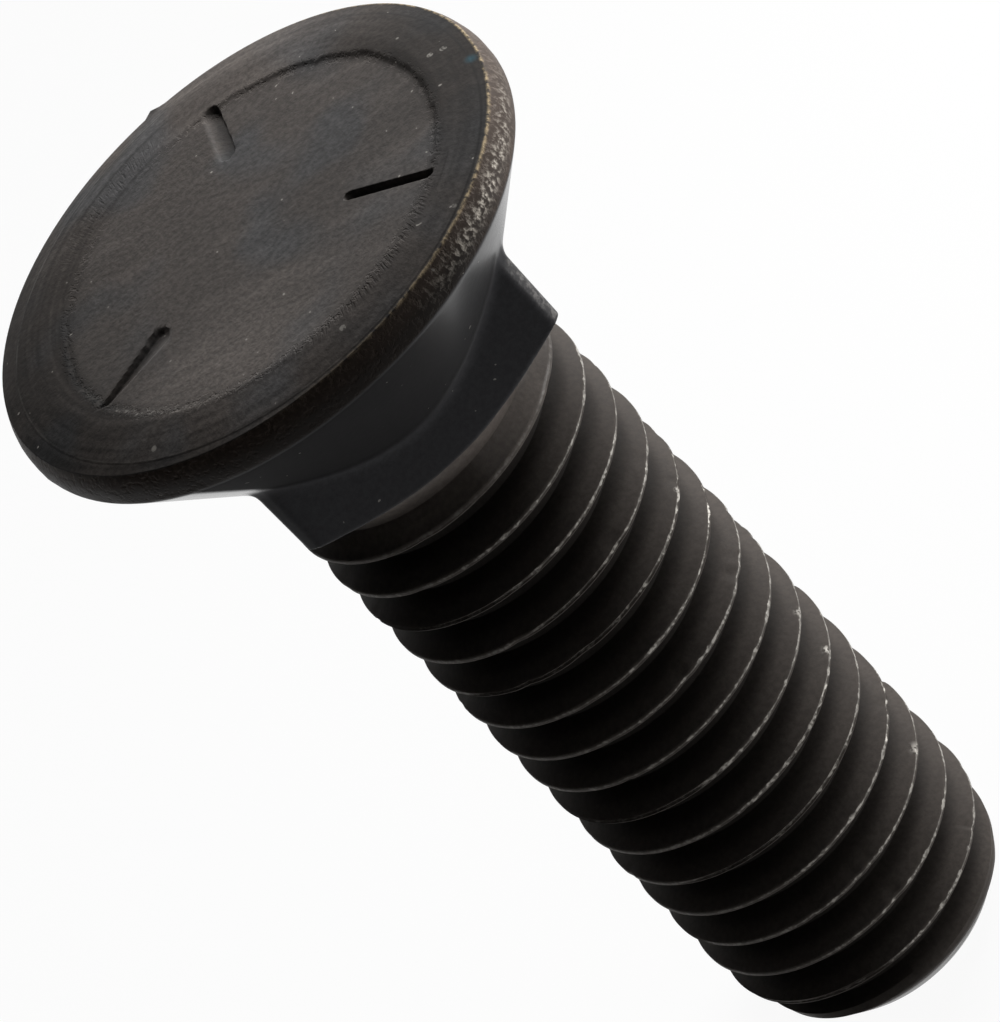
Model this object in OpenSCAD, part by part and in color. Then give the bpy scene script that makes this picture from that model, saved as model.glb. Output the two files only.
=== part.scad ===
// Plow bolt: a flat round head on a countersunk seat, a square neck and a coarse right-hand thread.
// One forging with a rolled thread, standing on its point, +Z towards the head.
// The origin is the middle of the point's flat end, and -Y is square to one flat of the neck.
// Lengths are in millimetres and angles in degrees.

/* [Overall] */
// Length from the point's flat end to the top of the head
bolt_length = 38.4; // [32:0.1:64]

/* [Head] */
// Diameter over the rim
head_d = 19.46; // [18.2:0.02:21]
// Width of the sloping ring between the flat top and the rim's edge
crown_w = 1.58; // [0.6:0.02:1.8]
// Fall of that ring from the flat top to the edge
crown_fall = 0.4; // [0.1:0.02:0.6]
// How far the edge lies inside the full diameter
edge_inset = 0.25; // [0.1:0.01:0.5]
// Depth from the top of the head to where the rim reaches its full diameter
land_depth = 1.1; // [0.7:0.05:1.3]
// Depth from the top of the head to where the seat starts
rim_depth = 1.53; // [1.35:0.01:2]
// Included angle of the countersunk seat
seat_angle = 80; // [76:0.2:90]

/* [Head top] */
// Diameter of the shallow pressed disc on top
recess_d = 14.6; // [12:0.1:15.4]
// Depth of the pressed disc
recess_depth = 0.12; // [0.05:0.01:0.3]
// Sideways offset of the pressed disc and the marks, along X
die_x = 0.55; // [-0.8:0.05:0.8]
// Sideways offset of the pressed disc and the marks, along Y
die_y = -0.5; // [-0.8:0.05:0.8]
// Number of radial strength marks
mark_count = 3; // [2:1:6]
// Distance from the middle of the marks to their inner ends
mark_inner = 3.9; // [2:0.1:5]
// Distance from the middle of the marks to their outer ends
mark_outer = 7; // [5.6:0.1:7]
// Width of a mark
mark_w = 0.5; // [0.3:0.05:1]
// Depth of a mark below the pressed disc
mark_depth = 0.28; // [0.1:0.02:0.6]
// Direction of the first mark
mark_turn = 75.5; // [0:0.5:120]

/* [Neck] */
// Width over the flats where the neck ends
neck_w = 10.8; // [10.4:0.05:11.6]
// Draft of each flat, wider towards the head
neck_draft = 0.5; // [0:0.5:4]
// Diameter over the rounded corners
corner_d = 14.84; // [14:0.02:15.4]
// Height of the cone that takes the corners back to the shank at the neck's end
corner_rise = 1.14; // [0.8:0.02:2]
// Width of the flat ring between that cone and the shank, on its narrow side
neck_ring = 0.25; // [0.1:0.05:0.6]
// Depth from the top of the head to the neck's end
neck_depth = 8.57; // [7.8:0.01:11]
// Turn of the neck about the axis
neck_turn = -1.5; // [-6:0.5:6]
// Sideways offset of the neck, along X
neck_x = 0.25; // [-0.3:0.05:0.3]

/* [Thread] */
// Diameter over the crests
thread_d = 10.88; // [10.7:0.01:11.1]
// Distance from one crest to the next, 14 threads to the inch
pitch = 1.8143; // [1.27:0.0001:2]
// Angle between the two flanks of a groove
flank_angle = 60; // [55:1:65]
// Width of the flat on the crest
crest_w = 0.22; // [0.14:0.01:0.3]
// Width of the flat in the root
root_w = 0.34; // [0.16:0.01:0.36]
// Height of a crest above the end of the point, on the +X side
crest_start = 1.55; // [0.8:0.05:2.6]
// Diameter of the shank where it leaves the neck
shank_d = 9.7; // [9.2:0.05:10]
// Length over which the thread rises from the shank below the neck
runout = 0.9; // [0.5:0.1:4]
// Flats around one turn of the thread
turn_facets = 46; // [32:2:50]

/* [Point] */
// Diameter of the flat end
point_d = 8.1; // [7.6:0.05:8.4]
// Angle of the point's chamfer from the axis
point_angle = 42; // [35:1:50]
// Height of the plain chamfer below the first thread groove
point_h = 0.3; // [0.2:0.02:0.3]
// Diameter at which the thread's lead-in starts
lead_d = 9.96; // [9.4:0.02:10.4]
// Height at which the thread reaches its full diameter
lead_h = 2.95; // [2:0.05:5]

/* [Hidden] */
$fn = 96;

// Colour of the blackened steel
steel = [0.16, 0.155, 0.15];
// Overlap that carries a cutting shape clear of a face
over = 1;
// Depth by which one form starts inside the other
bury = 0.25;
// Clearance of the exact point inside the facets that stand on it
seat_gap = 0.03;

head_r = head_d / 2;
edge_r = head_r - edge_inset;
corner_r = corner_d / 2;
thread_r = thread_d / 2;
shank_r = shank_d / 2;
point_r = point_d / 2;
lead_r = lead_d / 2;

// Seat: radius lost for each millimetre of depth; inside the neck it narrows down to the shank
seat_slope = tan(seat_angle / 2);
seat_end = rim_depth + (head_r - shank_r) / seat_slope;
// Neck: it starts inside the seat, above the level where its corners come out
neck_start = rim_depth + (head_r - corner_r - abs(neck_x) - bury) / seat_slope;
neck_h = neck_depth - neck_start;
neck_top_w = neck_w + 2 * neck_h * tan(neck_draft);
neck_end_r = shank_r + abs(neck_x) + neck_ring;
neck_z = bolt_length - neck_depth;

// Thread: one pitch of the outline, from the lower edge of a crest up to the next
flank_h = (pitch - crest_w - root_w) / 2;
level_z = [0, crest_w, crest_w + flank_h, crest_w + flank_h + root_w];
root_r = thread_r - flank_h / tan(flank_angle / 2);
level_r = [thread_r, thread_r, root_r, root_r];
levels_per_turn = len(level_z);
skin_lo = point_h;
skin_hi = neck_z + bury;
skin_base = crest_start - crest_w / 2 - pitch * ceil((crest_start - skin_lo) / pitch + 1);
skin_turns = ceil((skin_hi - skin_base) / pitch) + 1;
level_count = skin_turns * levels_per_turn;
lead_slope = (thread_r - lead_r) / (lead_h - (lead_r - point_r) / tan(point_angle));

// Radius of the turned blank at height z: the chamfer first, then the lead-in
function blank_r(z) =
    min(point_r + z * tan(point_angle), thread_r - (lead_h - z) * lead_slope);
// How far the thread has risen from the shank at height z, from 0 at the neck to 1
function thread_rise(z) =
    max(0, min(1, (neck_z - z) / runout));
// Height of level n at facet i, before it is held between the two ends
function skin_z(i, n) =
    skin_base + pitch * (i / turn_facets + floor(n / levels_per_turn)) + level_z[n % levels_per_turn];
// Radius of level n at height z
function skin_r(n, z) =
    min(blank_r(z), shank_r + thread_rise(z) * (level_r[n % levels_per_turn] - shank_r));
// Point of the skin at facet i, radius r and height z
function skin_point(i, r, z) =
    [r * cos(360 * i / turn_facets), r * sin(360 * i / turn_facets), z];
// Number of the point at facet i and level n: one ring closes each end, and the seam climbs by one turn
function skin_index(i, n) =
    i == turn_facets ? skin_index(0, n + levels_per_turn)
    : skin_z(i, n) <= skin_lo ? i
    : skin_z(i, n) >= skin_hi ? turn_facets + i
    : 2 * turn_facets + i * level_count + n;
// The two triangles of one cell of the skin, without those that the end rings close up
function skin_cell(a, b, c, d) =
    [for (t = [[a, d, c], [a, c, b]]) if (t[0] != t[1] && t[1] != t[2] && t[2] != t[0]) t];

// Threaded shank: one closed skin that follows the helix from the point up into the neck
module thread() {
    low_ring = [for (i = [0 : turn_facets - 1]) skin_point(i, blank_r(skin_lo), skin_lo)];
    high_ring = [for (i = [0 : turn_facets - 1]) skin_point(i, shank_r, skin_hi)];
    skin = [
        for (i = [0 : turn_facets - 1])
        for (n = [0 : level_count - 1])
        let (z = max(skin_lo, min(skin_hi, skin_z(i, n))))
        skin_point(i, skin_r(n, z), z)
    ];
    sides = [
        for (i = [0 : turn_facets - 1])
        for (n = [0 : level_count - levels_per_turn - 1])
        each skin_cell(
            skin_index(i, n),
            skin_index(i + 1, n),
            skin_index(i + 1, n + 1),
            skin_index(i, n + 1)
        )
    ];
    low_cap = [for (i = [0 : turn_facets - 1]) i];
    high_cap = [for (i = [turn_facets - 1 : -1 : 0]) turn_facets + i];
    polyhedron(
        points = concat(low_ring, high_ring, skin),
        faces = concat(sides, [low_cap, high_cap]),
        convexity = 12
    );
}

// Half outline of the head: flat top, sloping ring, leaning rim, short land and the countersunk seat
module head_outline() {
    polygon([
        [0, bolt_length],
        [edge_r - crown_w, bolt_length],
        [edge_r, bolt_length - crown_fall],
        [head_r, bolt_length - land_depth],
        [head_r, bolt_length - rim_depth],
        [shank_r, bolt_length - seat_end],
        [0, bolt_length - seat_end]
    ]);
}

// One radial strength mark, as the groove that is pressed in
module mark() {
    depth = recess_depth + mark_depth;
    translate([mark_inner, -mark_w / 2, -depth])
        cube([mark_outer - mark_inner, mark_w, depth + over]);
    for (x = [mark_inner, mark_outer])
        translate([x, 0, -depth])
            cylinder(d = mark_w, h = depth + over);
}

// Round head with its pressed disc and strength marks
module head() {
    difference() {
        rotate_extrude()
            head_outline();
        translate([die_x, die_y, bolt_length]) {
            translate([0, 0, -recess_depth])
                cylinder(d = recess_d, h = recess_depth + over);
            for (k = [0 : mark_count - 1])
                rotate([0, 0, mark_turn + 360 * k / mark_count])
                    mark();
        }
    }
}

// Pair of opposite flats of the neck, as a slab along Y
module neck_slab() {
    rotate([90, 0, 0])
        linear_extrude(height = head_d, center = true)
            polygon([
                [-neck_w / 2, neck_z],
                [neck_w / 2, neck_z],
                [neck_top_w / 2, neck_z + neck_h],
                [-neck_top_w / 2, neck_z + neck_h]
            ]);
}

// Half outline that rounds the neck's corners and takes its end back to the shank
module corner_outline() {
    polygon([
        [0, neck_z],
        [neck_end_r, neck_z],
        [corner_r, neck_z + corner_rise],
        [corner_r, neck_z + neck_h],
        [0, neck_z + neck_h]
    ]);
}

// Square neck with drafted flats and rounded corners
module neck() {
    translate([neck_x, 0, 0])
        rotate([0, 0, neck_turn])
            intersection() {
                neck_slab();
                rotate([0, 0, 90])
                    neck_slab();
                rotate_extrude()
                    corner_outline();
            }
}

// Flat end and the plain part of its chamfer
module point() {
    cylinder(r1 = point_r, r2 = blank_r(point_h) - seat_gap, h = point_h);
}

module plow_bolt() {
    color(steel)
        union() {
            head();
            neck();
            thread();
            point();
        }
}

plow_bolt();
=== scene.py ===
"""Plow bolt of blackened steel: its finished surface, the studio and the camera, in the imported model's frame.

Sizes inside the classes are in millimetres and go into the meshes in metres. +Z runs along the bolt to the
head, the origin is the middle of the point's flat end, and -Y faces the camera.
"""

import logging
import math
from dataclasses import dataclass
from enum import Enum
from typing import Any, Mapping, Sequence, Union

import bpy
import numpy as np
from mathutils import Matrix, Vector


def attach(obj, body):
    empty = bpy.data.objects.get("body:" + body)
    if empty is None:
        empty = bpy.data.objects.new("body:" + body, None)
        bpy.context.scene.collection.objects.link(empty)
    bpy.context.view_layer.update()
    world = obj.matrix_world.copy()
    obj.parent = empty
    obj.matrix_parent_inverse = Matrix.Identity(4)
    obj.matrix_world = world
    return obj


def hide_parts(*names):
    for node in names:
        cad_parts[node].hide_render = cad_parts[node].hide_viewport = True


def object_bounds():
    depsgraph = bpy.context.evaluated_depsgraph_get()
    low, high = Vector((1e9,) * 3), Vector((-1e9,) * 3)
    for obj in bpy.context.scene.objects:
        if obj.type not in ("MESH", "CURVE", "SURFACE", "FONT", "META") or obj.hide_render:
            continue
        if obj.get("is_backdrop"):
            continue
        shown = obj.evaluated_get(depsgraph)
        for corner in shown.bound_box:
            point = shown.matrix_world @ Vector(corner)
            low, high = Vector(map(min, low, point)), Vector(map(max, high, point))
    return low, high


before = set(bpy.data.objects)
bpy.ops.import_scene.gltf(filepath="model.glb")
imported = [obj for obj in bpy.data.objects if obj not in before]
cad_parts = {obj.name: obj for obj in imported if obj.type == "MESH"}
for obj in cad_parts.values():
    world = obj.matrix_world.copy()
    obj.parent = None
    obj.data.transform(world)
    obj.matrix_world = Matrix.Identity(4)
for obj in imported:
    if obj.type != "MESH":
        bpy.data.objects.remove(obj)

LOG = logging.getLogger("plow_bolt")
MM = 0.001
TURN = 2.0 * math.pi
WHITE = (1.0, 1.0, 1.0, 1.0)
Rows = tuple[np.ndarray, np.ndarray, np.ndarray]


class Blend(Enum):
    """Ways in which one colour goes over another."""

    MIX = "MIX"
    MULTIPLY = "MULTIPLY"


class LampShape(Enum):
    """Outlines of the studio's soft boxes."""

    SQUARE = "SQUARE"
    DISK = "DISK"


def smooth_step(x: np.ndarray, low: float, high: float) -> np.ndarray:
    """Cubic ramp 3t^2 - 2t^3, from 0 at low to 1 at high.

    Args:
        x: Values to ramp.
        low: Value where the ramp starts.
        high: Value where the ramp ends.

    Returns:
        The ramp at each value.
    """
    t = np.clip((x - low) / (high - low), 0.0, 1.0)
    return t * t * (3.0 - 2.0 * t)


def smooth_max(a: np.ndarray, b: np.ndarray, reach: float) -> np.ndarray:
    """The larger of a and b, plus reach/4 times the square of how near they are, which fills the crease.

    Args:
        a: First surface.
        b: Second surface.
        reach: Difference within which the two blend.

    Returns:
        The blended surface.
    """
    near = np.clip(1.0 - np.abs(a - b) / reach, 0.0, 1.0)
    return np.maximum(a, b) + 0.25 * reach * near * near


def smooth_min(a: np.ndarray, b: np.ndarray, reach: float) -> np.ndarray:
    """The smaller of a and b with its edge rounded, as the mirror image of smooth_max."""
    return -smooth_max(-a, -b, reach)


def ripple(angle: np.ndarray, orders: Sequence[int], seed: int) -> np.ndarray:
    """Closed wobble around the axis: a sum of cosines of whole orders with seeded phases, scaled to about 1.

    Args:
        angle: Angles in radians, of any shape.
        orders: Whole numbers of waves in a turn.
        seed: Seed of the phases.

    Returns:
        The wobble at each angle.
    """
    phases = np.random.default_rng(seed).uniform(0.0, TURN, len(orders))
    waves = np.cos(angle[..., None] * np.asarray(orders, float) + phases)
    return waves.sum(-1) / math.sqrt(0.5 * len(orders)) / 2.0


def turn_from(angle: np.ndarray, middle: Any) -> np.ndarray:
    """Signed angle from a middle in radians, between minus and plus half a turn."""
    return np.angle(np.exp(1j * (angle - middle)))


def belts(start: int, rows: int, columns: int, closed: bool = True) -> np.ndarray:
    """Quads between successive rows of points: each point, the one below it, and both of the next column.

    Args:
        start: Number of the first point.
        rows: Number of rows.
        columns: Number of points in a row.
        closed: Whether the last column joins the first.

    Returns:
        Corner numbers, shape (quads, 4).
    """
    row = start + columns * np.arange(rows - 1)[:, None]
    column = np.arange(columns if closed else columns - 1)
    after = (column + 1) % columns
    return np.stack([row + column, row + columns + column, row + columns + after, row + after], -1).reshape(-1, 4)


def add_object(name: str, data: bpy.types.ID) -> bpy.types.Object:
    """Makes an object of a mesh, lamp or camera and links it to the scene.

    Args:
        name: Name of the object.
        data: The mesh, lamp or camera.

    Returns:
        The object.
    """
    made = bpy.data.objects.new(name, data)
    bpy.context.scene.collection.objects.link(made)
    return made


@dataclass(frozen=True)
class StrengthMark:
    """One radial dash pressed into the head.

    Attributes:
        angle: Direction from the middle of the die, in degrees.
        inner: Distance of the inner end from the middle of the die.
        outer: Distance of the outer end.
        width: Width at the inner end.
        taper: Share of the width that is left at the outer end.
        depth: Depth below the pressed disc.
        lean: How far the floor leans to one side, as a share of the depth.
    """

    angle: float
    inner: float
    outer: float
    width: float
    taper: float
    depth: float
    lean: float

    def groove(self, x: np.ndarray, y: np.ndarray) -> np.ndarray:
        """Depth of the dash: full inside a tapering capsule and falling to 0 over its rounded wall.

        Args:
            x: Distances from the middle of the die along X.
            y: Distances from the middle of the die along Y.

        Returns:
            Depth at each point.
        """
        a = math.radians(self.angle)
        along = x * math.cos(a) + y * math.sin(a)
        across = y * math.cos(a) - x * math.sin(a)
        share = np.clip((along - self.inner) / (self.outer - self.inner), 0.0, 1.0)
        half = 0.5 * self.width * (1.0 + (self.taper - 1.0) * share)
        beyond = np.maximum(np.abs(along - 0.5 * (self.inner + self.outer))
                            - 0.5 * (self.outer - self.inner) + half, 0.0)
        outside = np.hypot(beyond, across) - half
        floor = self.depth * (1.0 + self.lean * np.clip(across / half, -1.0, 1.0))
        return floor * (1.0 - smooth_step(outside, -0.1, 0.03))


@dataclass(frozen=True)
class ForgedHead:
    """Round head: pressed disc with its dashes, crowned rim, short land and countersunk seat.

    Attributes:
        top: Height of the top above the point's end.
        radius: Radius over the rim.
        rim_round: Depth where the rim reaches its full radius.
        rim_depth: Depth where the seat starts.
        seat_slope: Radius that the seat loses for each millimetre of depth.
        flat_radius: Radius where the flat top starts to fall away.
        ring_radius: Radius of the ring where the top's rows meet the rim's.
        edge_radius: Radius of the edge between top and rim.
        edge_depth: Depth of that edge.
        die_x: Offset of the dashes along X.
        die_y: Offset of the dashes along Y.
        recess_radius: Mean distance from there to the wall of the pressed disc.
        recess_shift: How much farther away the wall is on one side than in the mean.
        recess_toward: Direction of that side in degrees.
        recess_depth: Depth of the pressed disc.
        burr_toward: Direction of the burr on the edge in degrees.
        burr_width: Half width of the burr round the axis in radians.
        burr_size: Height of the burr, and its reach below and above the edge.
        marks: The radial dashes.
    """

    top: float = 38.4
    radius: float = 9.73
    rim_round: float = 1.1
    rim_depth: float = 1.53
    seat_slope: float = 0.8391
    flat_radius: float = 7.7
    ring_radius: float = 8.45
    edge_radius: float = 9.478
    edge_depth: float = 0.4
    die_x: float = 0.55
    die_y: float = -0.5
    recess_radius: float = 7.2
    recess_shift: float = 0.38
    recess_toward: float = 215.0
    recess_depth: float = 0.105
    burr_toward: float = 85.7
    burr_width: float = 0.022
    burr_size: float = 0.1
    marks: tuple[StrengthMark, ...] = (
        StrengthMark(78.0, 4.0, 7.15, 0.7, 0.9, 0.21, -0.7),
        StrengthMark(193.7, 4.35, 7.7, 1.0, 0.25, 0.13, -0.65),
        StrengthMark(314.2, 3.75, 7.25, 0.38, 0.9, 0.28, 0.0),
    )

    def crown(self, radius: np.ndarray) -> np.ndarray:
        """Fall of the top at a radius: the edge's depth times the share of the way to the edge, to the power 1.4."""
        share = np.clip((radius - self.flat_radius) / (self.edge_radius - self.flat_radius), 0.0, 1.0)
        return self.edge_depth * share ** 1.4

    def seat(self, depth: np.ndarray) -> np.ndarray:
        """Radius of the countersunk seat at a depth: the rim's radius less the slope times the depth below it."""
        return self.radius - self.seat_slope * (depth - self.rim_depth)

    def face_rows(self, angle: np.ndarray) -> Rows:
        """Top of the head: rings round the die's middle that drift to rings round the axis outside the disc.

        The height is the top less its fall towards the rim, less what the disc's flat floor, which ends in a
        ragged wall, lies below that, less the dashes.

        Args:
            angle: Column angles in radians.

        Returns:
            X, Y and Z of the rows, from the innermost ring outwards.
        """
        rho = np.concatenate([[0.5, 1.2, 2.0, 2.8, 3.4], np.arange(3.62, 6.6, 0.1),
                              np.arange(6.6, 7.75, 0.06), [7.85, 8.0, 8.2, self.ring_radius]])[:, None]
        drift = 1.0 - smooth_step(rho, 7.5, self.ring_radius)
        x = rho * np.cos(angle)
        y = rho * np.sin(angle)
        place_x, place_y = x + self.die_x * drift, y + self.die_y * drift

        def near(degrees: float, reach: float) -> np.ndarray:
            """Flat-topped bell round the turn: 1 at the direction, 1/e at the reach on both sides."""
            return np.exp(-(turn_from(angle, math.radians(degrees)) / math.radians(reach)) ** 4)

        ragged = 0.07 * ripple(angle, (3, 5, 9, 14, 23, 31), 3) + 0.045 * ripple(angle, (47, 61, 83, 104), 8)
        wall_at = self.recess_radius + self.recess_shift * np.cos(angle - math.radians(self.recess_toward))
        wall = 1.0 - smooth_step(rho + ragged - wall_at, -0.1, 0.08)
        deep = np.clip(0.2 + 0.8 * near(12.0, 62.0) + 0.65 * near(176.0, 34.0) - 0.18 * near(112.0, 36.0), 0.0, 1.0)
        deep = 0.45 + (deep - 0.45) * smooth_step(rho, 2.0, 6.6)
        crown = self.crown(np.hypot(place_x, place_y))
        depth = crown + np.clip(self.recess_depth * deep - crown, 0.0, None) * wall
        for mark in self.marks:
            depth = depth + mark.groove(x, y)
        return place_x, place_y, self.top - depth

    def rim_rows(self, angle: np.ndarray) -> Rows:
        """Rim: the top falls away to a crisp edge with one small burr, then the side bulges out.

        Below the edge the radius is the full one less the missing part times (1 - share)^1.6, down to the land.
        The burr is a bell round its direction and round the edge's depth.

        Args:
            angle: Column angles in radians.

        Returns:
            X, Y and Z of the rows, downwards.
        """
        steps = np.array([0.2, 0.4, 0.58, 0.73, 0.86, 0.95, 1.0])
        out = self.ring_radius + steps * (self.edge_radius - self.ring_radius)
        share = np.array([0.04, 0.11, 0.21, 0.34, 0.5, 0.7, 1.0])
        depth = np.concatenate([self.crown(out), self.edge_depth + share * (self.rim_round - self.edge_depth),
                                self.rim_round + np.array([0.14, 0.28])])
        radius = np.concatenate([out, self.radius - (self.radius - self.edge_radius) * (1.0 - share) ** 1.6,
                                 [self.radius, self.radius]])
        soft = 0.02 * np.clip((depth - 0.5) / 0.8, 0.0, 1.0)[:, None] * (1.0 + ripple(angle, (7, 13, 29, 43), 5))
        aside = turn_from(angle, math.radians(self.burr_toward))
        burr = self.burr_size * np.exp(-(aside / self.burr_width) ** 2)
        burr = burr * np.exp(-((depth - self.edge_depth) / self.burr_size) ** 2)[:, None]
        radius = radius[:, None] - soft + 0.8 * burr
        return radius * np.cos(angle), radius * np.sin(angle), self.top - depth[:, None] + burr


@dataclass(frozen=True)
class SquareNeck:
    """Square neck under the seat, with drafted flats, rounded corners and a fillet into the seat.

    Attributes:
        width: Width over the flats at the neck's end.
        draft: Draft of a flat in degrees.
        corner_radius: Radius over the corners.
        end_radius: Radius of the ring where the neck ends.
        rise: Height of the cone from that ring out to the corners.
        end: Depth of the neck's end below the head's top.
        skew: How much deeper the end lies on the -X side than in the middle.
        turn: Turn about the axis in degrees.
        shift: Offset along X.
        edge: Rounding between a flat and a corner.
        fillet: Reach of the blend into the seat.
    """

    width: float = 10.8
    draft: float = 0.5
    corner_radius: float = 7.42
    end_radius: float = 5.35
    rise: float = 1.14
    end: float = 8.57
    skew: float = 0.12
    turn: float = -1.5
    shift: float = 0.25
    edge: float = 0.12
    fillet: float = 0.35

    def outline(self, angle: np.ndarray, depth: np.ndarray) -> np.ndarray:
        """Radius of the neck: the nearest of four leaning planes and a ring that closes in at the end.

        A ray at the angle meets a plane of normal n at (half width + n.shift) / (n.ray).

        Args:
            angle: Column angles in radians, shape (columns,).
            depth: Depths, shape (rows, 1).

        Returns:
            Radius, shape (rows, columns).
        """
        above = np.clip(self.end - self.skew * np.cos(angle) - depth, 0.0, None)
        half = 0.5 * self.width + above * math.tan(math.radians(self.draft))
        normals = np.radians(self.turn + np.array([0.0, 90.0, 180.0, 270.0]))[:, None, None]
        facing = np.clip(np.cos(angle - normals), 1e-4, None)
        flat = ((half + self.shift * np.cos(normals)) / facing).min(0)
        ring = self.end_radius + (self.corner_radius - self.end_radius) * np.minimum(above / self.rise, 1.0)
        toward = self.shift * np.cos(angle)
        round_off = toward + np.sqrt(toward ** 2 - self.shift ** 2 + ring ** 2)
        return smooth_min(flat, round_off, self.edge)

    def rows(self, angle: np.ndarray, head: ForgedHead, ring: tuple[float, float]) -> Rows:
        """Seat and neck as one skin, then the neck's end face down to the shank.

        The radius is the blended larger one of the seat's cone and the neck's outline.

        Args:
            angle: Column angles in radians.
            head: The head whose seat carries the neck.
            ring: Radius and height of the shank's upper ring.

        Returns:
            X, Y and Z of the rows, downwards.
        """
        depth = np.concatenate([np.array([1.48, 1.54, 1.62, 1.8, 2.2, 2.7, 3.2, 3.6]), np.arange(3.9, 7.2, 0.12),
                                np.arange(7.2, self.end, 0.07), [self.end]])[:, None]
        seat = smooth_min(head.seat(depth), np.full_like(depth, head.radius - 0.02), 0.12)
        radius = smooth_max(np.broadcast_to(seat, (len(depth), len(angle))), self.outline(angle, depth), self.fillet)
        height = head.top - depth + np.zeros_like(radius)
        share = np.array([0.3, 0.6, 0.85, 1.0])[:, None]
        low = radius[-1] + (ring[0] - radius[-1]) * share
        fall = height[-1] + (ring[1] - height[-1]) * share ** 3
        radius, height = np.concatenate([radius, low]), np.concatenate([height, fall])
        return radius * np.cos(angle), radius * np.sin(angle), height


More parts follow.
